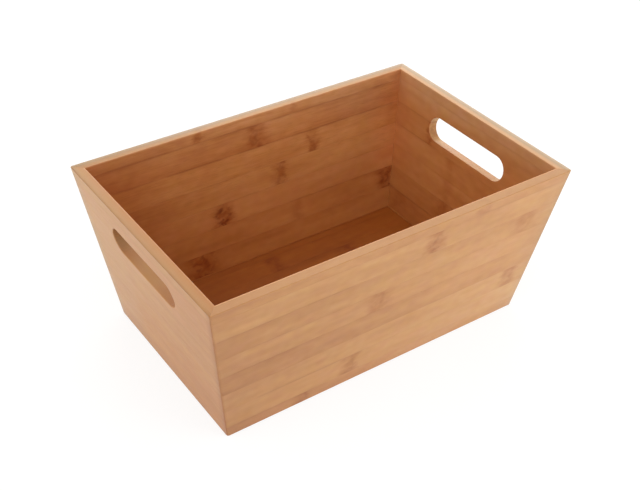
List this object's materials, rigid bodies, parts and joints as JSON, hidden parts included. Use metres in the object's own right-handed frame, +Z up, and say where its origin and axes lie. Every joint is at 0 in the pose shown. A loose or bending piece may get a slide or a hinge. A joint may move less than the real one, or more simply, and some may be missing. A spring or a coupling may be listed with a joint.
{
  "type": "bamboo storage box",
  "caption": "Open bamboo storage box with splayed, mitred walls glued up from strips, a grooved-in floor and a rounded hand slot in each short end.",
  "frame": {"origin": "middle of the footprint, on the surface that the box stands on", "axes": "+X along the length of the box, towards the right end; +Y across it, towards the back wall; +Z up, out of the open top"},
  "size_m": [0.2998, 0.1978, 0.13],
  "materials": {
    "wall_bamboo": "caramel bamboo strips, sanded smooth and clear lacquered to a low satin sheen",
    "floor_bamboo": "caramel bamboo strips, sanded smooth and clear lacquered to a low satin sheen"
  },
  "bodies": {
    "root": {"front_strip_1": "wall_bamboo", "front_strip_2": "wall_bamboo", "front_strip_3": "wall_bamboo", "front_strip_4": "wall_bamboo", "front_strip_5": "wall_bamboo", "front_strip_6": "wall_bamboo", "front_strip_7": "wall_bamboo", "front_strip_8": "wall_bamboo", "back_strip_1": "wall_bamboo", "back_strip_2": "wall_bamboo", "back_strip_3": "wall_bamboo", "back_strip_4": "wall_bamboo", "back_strip_5": "wall_bamboo", "back_strip_6": "wall_bamboo", "back_strip_7": "wall_bamboo", "back_strip_8": "wall_bamboo", "left_end_strip_1": "wall_bamboo", "left_end_strip_2": "wall_bamboo", "left_end_strip_3": "wall_bamboo", "left_end_strip_4": "wall_bamboo", "left_end_strip_5": "wall_bamboo", "left_end_strip_6": "wall_bamboo", "left_end_strip_7": "wall_bamboo", "left_end_strip_8": "wall_bamboo", "right_end_strip_1": "wall_bamboo", "right_end_strip_2": "wall_bamboo", "right_end_strip_3": "wall_bamboo", "right_end_strip_4": "wall_bamboo", "right_end_strip_5": "wall_bamboo", "right_end_strip_6": "wall_bamboo", "right_end_strip_7": "wall_bamboo", "right_end_strip_8": "wall_bamboo", "floor_strip_1": "floor_bamboo", "floor_strip_2": "floor_bamboo", "floor_strip_3": "floor_bamboo", "floor_strip_4": "floor_bamboo", "floor_strip_5": "floor_bamboo", "floor_strip_6": "floor_bamboo", "floor_strip_7": "floor_bamboo", "floor_strip_8": "floor_bamboo", "floor_strip_9": "floor_bamboo"}
  },
  "joints": []
}
